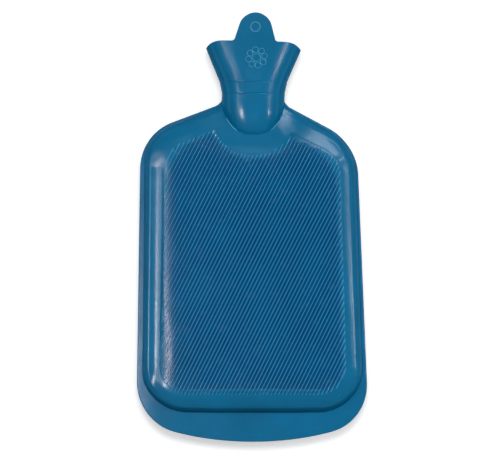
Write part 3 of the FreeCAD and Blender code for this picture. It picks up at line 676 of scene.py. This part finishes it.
def split_flats():
    """Divides the neck's flats in three, with the hanging tab's width in the middle."""
    choose("EDGE", lambda at, _: abs(at.x) < TINY)
    bpy.ops.mesh.subdivide(number_cuts=2)

    def between(at, _):
        station = station_of(at)
        off_axis = abs(at.z / MM - SEAM)
        half = flat_at(station) / 2 + off_axis * math.tan(HALF_STEP)
        return station > NOSE_END + 20 and off_axis > 18.9 and abs(at.x) < half * MM / 2

    choose("VERT", between)
    stretch(3 * TAB_SHARE, 1, 1, (0, 0, 0))


def raise_tab():
    """The hanging tab: the lip's middle at the front, drawn up, narrowed and rounded."""
    lip, top = along(LIP), body_high.y
    choose("FACE", lambda at, _: abs(at.x) < TINY and abs(at.y - lip) < TINY and at.z > SEAM * MM)
    extrude(y=TAB_TOP - LIP)
    stretch(TAB_TOP_HALF / TAB_FOOT_HALF, 1, 1, (0, top, 0))
    for level, reach, steps in ((top, TAB_TOP_HALF - 0.3, 16), (lip, 2.1, 5)):
        choose(
            "EDGE",
            lambda at, e: abs(at.y - level) < TINY
            and at.z > (NECK_FRONT - WALL) * MM
            and abs(e.verts[0].co.z - e.verts[1].co.z) > MM
            and (TAB_TOP_HALF - 1) * MM < abs(at.x) < (TAB_FOOT_HALF + 1) * MM,
        )
        bpy.ops.mesh.bevel(offset=reach * MM, segments=steps, profile=0.5)


def press_lines():
    """The two moulded lines across the neck's front, which fade out at its sides."""
    for line in (LOWER_LINE, UPPER_LINE):
        for reach, depth in ((20.5, 0.2), (17.0, 0.35)):
            choose(
                "VERT",
                lambda at, _: abs(at.y - along(line)) < TINY
                and at.z > (SEAM + NECK_RADIUS / 3) * MM
                and math.hypot(max(abs(at.x) - COLLAR_FLAT / 2 * MM, 0), at.z - SEAM * MM) > 21.5 * MM
                and abs(at.x) < reach * MM,
            )
            move(z=-depth)


def pillow_funnel():
    """Rounds the funnel's section from a flat oval towards an ellipse, back and front."""
    mesh = bmesh.from_edit_mesh(bpy.context.object.data)
    for vertex in mesh.verts:
        station = station_of(vertex.co)
        share = 0.8 * ease(station, LOWER_LINE, UPPER_LINE + 6)
        if share <= 0:
            continue
        # The hanging tab goes down with the lip that it stands on.
        half_flat = flat_at(min(station, LIP)) / 2
        x = TAB_FOOT_HALF if station > LIP + 0.1 else abs(vertex.co.x) / MM
        across = min(x / (half_flat + NECK_RADIUS), 0.999)
        round_part = min(max(x - half_flat, 0) / NECK_RADIUS, 0.999)
        squeeze = math.sqrt((1 - across**2) / (1 - round_part**2))
        vertex.co.z = SEAM * MM + (vertex.co.z - SEAM * MM) * (1 - share * (1 - squeeze))
    bmesh.update_edit_mesh(bpy.context.object.data)


def drop_lip():
    """Lowers the lip towards its side corners, along the funnel's slanting sides."""
    mesh = bmesh.from_edit_mesh(bpy.context.object.data)
    slant = (MOUTH_FLAT - COLLAR_FLAT) / 2 / (LIP - UPPER_LINE)
    for vertex in mesh.verts:
        rise = (vertex.co.y - along(UPPER_LINE + 12)) / (along(LIP) - along(UPPER_LINE + 12))
        beyond = (abs(vertex.co.x) / MM - LIP_STRAIGHT) / (MOUTH_HALF - LIP_STRAIGHT)
        if rise <= 0 or rise > 1.001 or beyond <= 0:
            continue
        drop = LIP_DROP * beyond**LIP_CURVE * rise
        vertex.co.y -= drop * MM
        vertex.co.x -= math.copysign(drop * slant * MM, vertex.co.x)
    bmesh.update_edit_mesh(bpy.context.object.data)


neck = dress(make_neck(), SMOOTH_RUBBER)


def make_eye():
    """The hanging eye, moulded blind: a low ring, with no hole through the tab."""
    radius, half_wide, low = 4.1, 0.55, NECK_FRONT - 0.1
    centre = place(0, EYE_STATION, low)
    piece = add(
        bpy.ops.mesh.primitive_circle_add,
        "blind_eye",
        vertices=12,
        radius=half_wide * MM,
        location=centre + Vector((radius * MM, 0, 0)),
        rotation=(math.pi / 2, 0, 0),
    )
    choose("VERT", lambda at, _: True)
    bpy.ops.mesh.spin(steps=48, angle=math.tau, center=centre, axis=(0, 0, 1))
    close(piece)
    return piece


eye = dress(make_eye(), RAISED_RUBBER)


def make_mould_mark():
    """A generic moulded flower where a maker's date wheel stands: one ring with eight round petals."""
    centre = place(MARK_X, MARK_STATION, NECK_FRONT - 0.05)
    parts, petals = [], 8
    for number in range(petals + 1):
        # The first is the ring in the middle.
        turn = math.tau * number / petals + 0.2
        away = Vector((math.cos(turn), math.sin(turn), 0)) * (7.0 * MM if number else 0.0)
        radius, half_wide = (2.5, 0.28) if number else (3.4, 0.3)
        ring = add(
            bpy.ops.mesh.primitive_circle_add,
            "mould_mark",
            vertices=8,
            radius=half_wide * MM,
            location=centre + away + Vector((radius * MM, 0, 0)),
            rotation=(math.pi / 2, 0, 0),
        )
        choose("VERT", lambda at, _: True)
        bpy.ops.mesh.spin(steps=28, angle=math.tau, center=centre + away, axis=(0, 0, 1))
        parts.append(close(ring))
    return join(parts)


def join(parts):
    """Makes one piece of several, named as the first."""
    bpy.ops.object.select_all(action="DESELECT")
    for part in parts:
        part.select_set(True)
    bpy.context.view_layer.objects.active = parts[0]
    bpy.ops.object.join()
    return parts[0]


mould_mark = dress(make_mould_mark(), RAISED_RUBBER)


def make_crease_bead():
    """The thin bead where the cushion's skin was drawn up against the nose, plainest at its ends. Its
    pale colour is a painted highlight along the crease.
    """
    radius, half_wide = 25.0, 0.45
    start = math.radians(-12)
    centre = place(0.4, 289.7, PANEL)
    piece = add(
        bpy.ops.mesh.primitive_circle_add,
        "crease_bead",
        vertices=8,
        radius=half_wide * MM,
        location=centre + Vector((math.cos(start), math.sin(start), 0)) * radius * MM,
        rotation=(math.pi / 2, 0, start),
        fill_type="NGON",
    )
    choose("VERT", lambda at, _: True)
    bpy.ops.mesh.spin(steps=60, angle=math.radians(156), center=centre, axis=(0, 0, 1))
    close(piece)
    for vertex in piece.data.vertices:
        # It sinks into the skin towards the nose's end.
        low = 1 - ease(abs(vertex.co.x) / MM, 8, 20)
        vertex.co.z -= (0.1 + 0.6 * low) * MM
    return piece


crease_bead = dress(make_crease_bead(), CREASE_HIGHLIGHT_RUBBER)


# The ribbed area of the front.

RIB_PITCH = 3.02
RIB_TURN = math.radians(63.4)
RIB_RISE = 0.7
RIB_AREA = [(81.3, 40.7, 24.0), (76.0, 250.0, 27.0), (6.0, 281.2, 0.0)]
CLEARING = (284.9, 37.0)
RIB_WIDTH = 0.85


def make_rib_area(name, low, high, taper):
    """The ribbed area as a slab whose top edge is cut back by a taper, all round."""
    piece = flat_plan(name, RIB_AREA, low)
    choose("FACE", lambda at, _: True)
    extrude(z=PANEL - low)
    choose("FACE", lambda at, _: at.z > (PANEL - 0.05) * MM)
    bpy.ops.mesh.inset(thickness=taper * MM, depth=(high - PANEL) * MM)
    close(piece)
    station, radius = CLEARING
    deep = 2.0
    cone = add(
        bpy.ops.mesh.primitive_cone_add,
        "clearing",
        vertices=96,
        radius1=(radius - taper * (deep / (high - PANEL))) * MM,
        radius2=(radius + taper * (deep / (high - PANEL))) * MM,
        depth=2 * deep * MM,
        location=place(0, station, PANEL),
    )
    close(cone)
    cut(piece, cone, "DIFFERENCE")
    return piece


def cut(piece, tool, operation):
    """Cuts a piece with a tool, which is then thrown away."""
    bpy.ops.object.select_all(action="DESELECT")
    piece.select_set(True)
    finish_with(piece, "BOOLEAN", object=tool, operation=operation, solver="EXACT")
    bpy.data.objects.remove(tool)


def slice_across(piece, spacing, low, high):
    """Cuts a piece's faces every so often up the bottle, so that they can follow the dome."""
    bpy.ops.object.select_all(action="DESELECT")
    piece.select_set(True)
    bpy.context.view_layer.objects.active = piece
    bpy.ops.object.mode_set(mode="EDIT")
    for n in range(int((high - low) / spacing) + 1):
        bpy.ops.mesh.select_all(action="SELECT")
        bpy.ops.mesh.bisect(plane_co=place(0, low + n * spacing, 0), plane_no=(0, 1, 0))
    return piece


def make_rib_floor():
    """The bottom of the grooves between the ribs, coloured darker than the skin as painted shade."""
    piece = make_rib_area("rib_grooves", PANEL - 1.0, PANEL + 0.12, 0.6)
    slice_across(piece, 4.0, 43.0, 282.0)
    for across in range(-80, 81, 4):
        bpy.ops.mesh.select_all(action="SELECT")
        bpy.ops.mesh.bisect(plane_co=place(across, 0, 0), plane_no=(1, 0, 0))
    return note_rim(close(piece))


def rounded(a, b, radius):
    """The distance to the nearer of two edges whose corner is rounded."""
    if min(a, b) > radius or max(a, b) > radius:
        return min(a, b)
    return radius - math.hypot(radius - a, radius - b)


def note_rim(piece):
    """Notes each point's distance to the ribbed area's rim, in millimetres, for the material."""
    (foot_half, foot, foot_radius), (top_half, top, top_radius), (tip_half, tip, _) = RIB_AREA
    slant = Vector((top_half - tip_half, tip - top)).normalized()
    distances = []
    for vertex in piece.data.vertices:
        x, station = abs(vertex.co.x) / MM, station_of(vertex.co)
        side = foot_half + (top_half - foot_half) * (station - foot) / (top - foot) - x
        shoulder = (top_half - x) * slant.y + (top - station) * slant.x
        clearing = math.hypot(x, station - CLEARING[0]) - CLEARING[1]
        low, high = rounded(side, station - foot, foot_radius), rounded(side, shoulder, top_radius)
        distances.append(max(min(low, high, clearing), 0.0))
    piece.data.attributes.new("rim_distance", "FLOAT", "POINT").data.foreach_set("value", distances)
    return piece


def make_ribs():
    """The ribs: one rounded bar, repeated at its pitch and cut to the ribbed area with tapered ends."""
    reach = 150.0
    low = PANEL - 0.4
    bar = add(bpy.ops.mesh.primitive_cube_add, "ribs", size=1 * MM, location=(0, 0, 0))
    choose("VERT", lambda at, _: True)
    stretch(2 * reach, RIB_WIDTH, PANEL + RIB_RISE - low, (0, 0, 0))
    choose("EDGE", lambda at, _: at.z > 0 and abs(at.x) < TINY)
    bpy.ops.mesh.bevel(offset=0.3 * MM, segments=3, profile=0.5)
    close(bar, 60)
    bar.rotation_euler.z = RIB_TURN
    square = Vector((-math.sin(RIB_TURN), math.cos(RIB_TURN), 0))
    count = int(2 * reach / RIB_PITCH)
    bar.location = place(0, 162.0, (low + PANEL + RIB_RISE) / 2) - square * (count / 2 * RIB_PITCH * MM)
    bpy.ops.object.transform_apply(location=True, rotation=True, scale=True)
    finish_with(
        bar,
        "ARRAY",
        count=count,
        use_relative_offset=False,
        use_constant_offset=True,
        constant_offset_displace=square * RIB_PITCH * MM,
    )
    cut(bar, make_rib_area("rib_area", PANEL - 1.0, PANEL + 0.9, 4.0), "INTERSECT")
    slice_across(bar, 10.0, 45.0, 282.0)
    return note_rim(close(bar, 60))


rib_floor = dress(make_rib_floor(), GROOVE_SHADE_RUBBER)
ribs = dress(make_ribs(), RIB_LIGHT_AND_SHADE_RUBBER)


# A moulding isn't quite even on its two sides, and this one lies a little askew. The tables hold how far
# in from the cushion's outline, and how deep or how high, in millimetres.

# How the left slope sags behind its corner.
LEFT_SAG = [
    (4.2, 0.0),
    (5.6, 0.35),
    (6.3, 0.5),
    (6.8, 0.52),
    (7.3, 0.55),
    (8.5, 1.05),
    (10.0, 1.65),
    (12.0, 2.25),
    (13.2, 2.4),
    (14.5, 2.42),
    (16.0, 2.2),
    (17.5, 1.82),
    (19.0, 1.42),
    (21.0, 0.95),
    (24.0, 0.45),
    (27.0, 0.15),
    (30.0, 0.0),
]
# How full the right edge stands near the foot.
RIGHT_LIFT = [
    (0.0, 0.0),
    (0.9, 0.5),
    (2.4, 1.4),
    (4.2, 2.2),
    (5.6, 1.6),
    (6.3, 1.32),
    (7.3, 1.2),
    (8.5, 1.05),
    (10.0, 0.7),
    (12.0, 0.3),
    (13.2, 0.15),
    (14.5, 0.03),
    (16.0, 0.0),
]
# How the right shoulder falls away from the ribs, in from its straight edge.
SHOULDER_SAG = [
    (0.0, 0.0),
    (0.9, 1.0),
    (2.4, 2.15),
    (4.2, 2.71),
    (5.6, 2.95),
    (6.3, 3.08),
    (8.5, 3.13),
    (10.0, 3.2),
    (12.0, 3.09),
    (13.2, 2.93),
    (14.5, 2.63),
    (16.0, 2.14),
    (17.5, 1.6),
    (19.0, 1.05),
    (21.0, 0.5),
    (24.0, 0.1),
    (27.0, 0.0),
]


# The cushion's sides come in by this share of the way up.
SIDE_TAPER = 0.022


def cushion_lean(station):
    """How far the cushion leans to the left, which dies out at the apron's foot and at the neck."""
    return -3.3 * ease(station, 0, 150) * (1 - ease(station, 262, 300))


def shoulder_skew(x, station):
    """How much lower the right shoulder lies than the middle, and how much higher the left one."""
    return -3.2 * x / 90 * ease(station, 130, 235) * (1 - ease(station, 282, 296))


def slump(piece):
    """Lets the cushion's left slope and right shoulder sag, and fills its right edge near the foot."""
    for vertex in piece.data.vertices:
        x, station, height = vertex.co.x / MM, station_of(vertex.co), vertex.co.z / MM
        half = CUSHION[0][0] - SIDE_TAPER * (station - CUSHION[0][1])
        from_left, from_right = half + x, half - x
        sag = read_table(LEFT_SAG, from_left) * ease(station, 30, 75) * (1 - ease(station, 225, 255))
        dent = 1.2 * (1 - ease(from_left, 13, 32)) * ease(from_left, 7, 12) * ease(station, 45, 62)
        drop = (sag + dent * (1 - ease(station, 80, 115))) * ease(height, 34, 37)
        lift = read_table(RIGHT_LIFT, from_right) * ease(height, 24, 28)
        lift *= ease(station, 30, 60) * (1 - ease(station, 80, 165))
        # The right shoulder's straight edge starts at the outline's last corner and runs at this slant.
        corner_half, corner_station, _ = CUSHION[-1]
        inward = (corner_half - x) * 0.412 + (corner_station - station) * 0.911
        fall = read_table(SHOULDER_SAG, inward) * ease(x, 24, 34) * (1 - ease(x, 68, 84))
        vertex.co.z += (lift - drop - fall * ease(height, 24, 28)) * MM
        # The left wall stands back, so that the seam lip shows more on that side.
        narrow = 2.4 * (1 - ease(from_left, 0, 7)) * ease(station, 40, 80)
        vertex.co.x += narrow * (1 - ease(station, 225, 258)) * MM


def settle(piece, lean_share, start_x):
    """Leans and skews a piece as the bottle lies. start_x holds its points' x before any slump."""
    for vertex, x in zip(piece.data.vertices, start_x):
        station = station_of(vertex.co)
        lean = lean_share * cushion_lean(station) + 0.4 * ease(station, 292, 305)
        tab = 1.7 * ease(station, LIP - 18, TAB_TOP - 12) * (1 - ease(abs(x), 18, 30))
        mouth = -(0.5 + 0.7 * x / 30) * ease(station, UPPER_LINE, LIP) * (1 - ease(station, LIP, LIP + 8))
        vertex.co.x += (lean + tab) * MM
        vertex.co.y += (shoulder_skew(x, station) + mouth) * MM


def slide_ribs(piece):
    """The ribs stand square to the neck and hardly lean with the cushion."""
    for vertex in piece.data.vertices:
        station = station_of(vertex.co)
        vertex.co.x += 0.15 * cushion_lean(station) * MM
        vertex.co.y += shoulder_skew(vertex.co.x / MM, station) * MM


def drape(piece, ground, level):
    """Lays a piece that was made on a flat level on the ground below it."""
    bpy.context.view_layer.update()
    for vertex in piece.data.vertices:
        above = Vector((vertex.co.x, vertex.co.y, 2 * PANEL * MM))
        found, spot, _, _ = ground.ray_cast(above, (0, 0, -1))
        vertex.co.z += spot.z - level * MM if found else 0.0


for piece in (cushion, seam_lip, neck, eye, mould_mark):
    start_x = [vertex.co.x / MM for vertex in piece.data.vertices]
    if piece == cushion:
        slump(piece)
    settle(piece, 0.0 if piece == neck else 1.0, start_x)
for piece in (rib_floor, ribs):
    slide_ribs(piece)
for piece in (rib_floor, ribs, crease_bead):
    drape(piece, cushion, PANEL)
for piece in (eye, mould_mark):
    drape(piece, neck, NECK_FRONT)
for piece in (cushion, seam_lip, neck, eye, mould_mark, crease_bead, rib_floor, ribs):
    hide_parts("bottle_body")


# The floor, the lights and the camera.

PHOTO = (500, 476)
MM_PER_PIXEL = 0.866


def lay_floor():
    """White paper that takes the shadow, and that shows white wherever it is seen or mirrored."""
    bpy.ops.object.select_all(action="DESELECT")
    bpy.ops.mesh.primitive_plane_add(size=8.0, location=(0, 0, body_low.z))
    floor = bpy.context.object
    floor.name = "floor"
    material = blank_material("white_paper")
    paper = node(material, "BsdfDiffuse", {"Color": (0.75, 0.75, 0.75, 1)})
    rays = node(material, "LightPath").outputs
    seen = rays["Is Camera Ray"]
    for ray in ("Is Glossy Ray", "Is Transmission Ray"):
        seen = node(material, "Math", {0: seen, 1: rays[ray]}, operation="MAXIMUM").outputs[0]
    share = node(material, "Math", {0: seen, 1: 0.5}, operation="MULTIPLY")
    glow = node(material, "Emission", {"Strength": share.outputs[0]})
    both = node(material, "AddShader", {0: paper.outputs[0], 1: glow.outputs[0]})
    node(material, "OutputMaterial", {"Surface": both.outputs[0]})
    floor.data.materials.append(material)


def hang_softbox(name, spot, aim, width, length, watts, lights="all"):
    """A soft light whose length is level. It lights all, or only gloss, or only the matt colour."""
    lamp = bpy.data.lights.new(name, "AREA")
    lamp.shape = "RECTANGLE"
    lamp.size, lamp.size_y, lamp.energy = length, width, watts
    box = bpy.data.objects.new(name, lamp)
    bpy.context.collection.objects.link(box)
    box.location = spot
    box.rotation_mode = "QUATERNION"
    box.rotation_quaternion = (Vector(spot) - Vector(aim)).to_track_quat("Z", "Y")
    box.visible_diffuse = lights != "gloss"
    box.visible_glossy = lights != "matt"
    return lamp


def paint_room():
    """A dark room, paler overhead, whose backdrop is white where it is seen."""
    world = bpy.context.scene.world or bpy.data.worlds.new("studio")
    bpy.context.scene.world = world
    world.use_nodes = True
    world.node_tree.nodes.clear()
    way = node(world, "TexCoord").outputs["Generated"]
    up = node(world, "SeparateXYZ", {"Vector": way}).outputs["Z"]
    walls = node(
        world, "MapRange", {"Value": up, "From Min": 0.1, "From Max": 0.5, "To Min": 0.03, "To Max": 0.24}
    )
    rays = node(world, "LightPath").outputs
    # Gloss mirrors the pale background near the floor, and the dark room above it.
    backdrop = node(
        world, "MapRange", {"Value": up, "From Min": 0.03, "From Max": 0.12, "To Min": 1.0, "To Max": 0.0}
    )
    gloss = node(world, "Math", {0: rays["Is Glossy Ray"], 1: backdrop.outputs[0]}, operation="MULTIPLY")
    level = walls.outputs[0]
    for part in (rays["Is Camera Ray"], rays["Is Transmission Ray"], gloss.outputs[0]):
        level = node(world, "Math", {0: level, 1: part}, operation="MAXIMUM").outputs[0]
    back = node(world, "Background", {"Color": (1, 1, 1, 1), "Strength": level})
    node(world, "OutputWorld", {"Surface": back.outputs[0]})


def hang_lamps():
    """One lamp for each light that the photograph shows on the rubber, and one for its colour."""
    # The streak inside the left edge, which runs on up the left of the neck and the funnel.
    hang_softbox("left_softbox", (-0.6, 0.03, 0.68), (0, 0.03, 0.03), 0.12, 0.36, 0.7)
    # The same on the right: one for the cushion's lower part, one for its top and the funnel.
    hang_softbox("right_low_softbox", (0.66, -0.085, 0.58), (0, -0.085, 0.03), 0.08, 0.15, 1.1)
    hang_softbox("right_high_softbox", (0.66, 0.15, 0.58), (0, 0.15, 0.03), 0.08, 0.1, 0.28)
    # The slope behind the left edge: a little more at its top, and the warm, brighter patch below.
    hang_softbox("middle_softbox", (-0.42, 0.01, 0.76), (-0.08, 0.01, 0.04), 0.14, 0.15, 0.22, "gloss")
    low = hang_softbox("low_softbox", (-0.4, -0.17, 0.77), (-0.08, -0.17, 0.04), 0.16, 0.2, 3.3, "gloss")
    low.color = (1.0, 0.86, 0.8)
    # The sheen on the right shoulder and round the nose, and the patch on the shoulder's round corner.
    hang_softbox("back_softbox", (0.36, 0.72, 0.63), (0.06, 0.07, 0.03), 0.18, 0.3, 1.8, "gloss")
    hang_softbox("shoulder_softbox", (0.5, 0.36, 0.62), (0.08, 0.06, 0.03), 0.08, 0.08, 0.5, "gloss")
    # The even light that shows the rubber's own colour.
    hang_softbox("window", (0, 1.2, 4.4), (0, 0, 0), 1.1, 1.1, 100, "matt")


def set_camera():
    """Straight above the bottle, and so far off that its sides aren't seen."""
    camera = bpy.data.objects.new("camera", bpy.data.cameras.new("camera"))
    bpy.context.collection.objects.link(camera)
    bpy.context.scene.camera = camera
    neck_pixel, foot_pixel = 253.0, 441.5
    x = (PHOTO[0] / 2 - neck_pixel) * MM_PER_PIXEL
    station = (foot_pixel - PHOTO[1] / 2) * MM_PER_PIXEL
    height = 6.0
    camera.location = place(x, station, 0) + Vector((0, 0, height))
    view_width = PHOTO[0] * MM_PER_PIXEL * MM
    camera.data.lens = camera.data.sensor_width * (height - SEAM * MM) / view_width


lay_floor()
paint_room()
hang_lamps()
set_camera()
bpy.context.scene.view_settings.view_transform = "Standard"

socket_brass, stopper_plastic = turned_brass(), moulded_plastic()
for name, material in (
    ("neck_insert", socket_brass),
    ("washer", WASHER_RUBBER),
    ("stopper", stopper_plastic),
):
    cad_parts[name].data.materials.clear()
    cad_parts[name].data.materials.append(material)
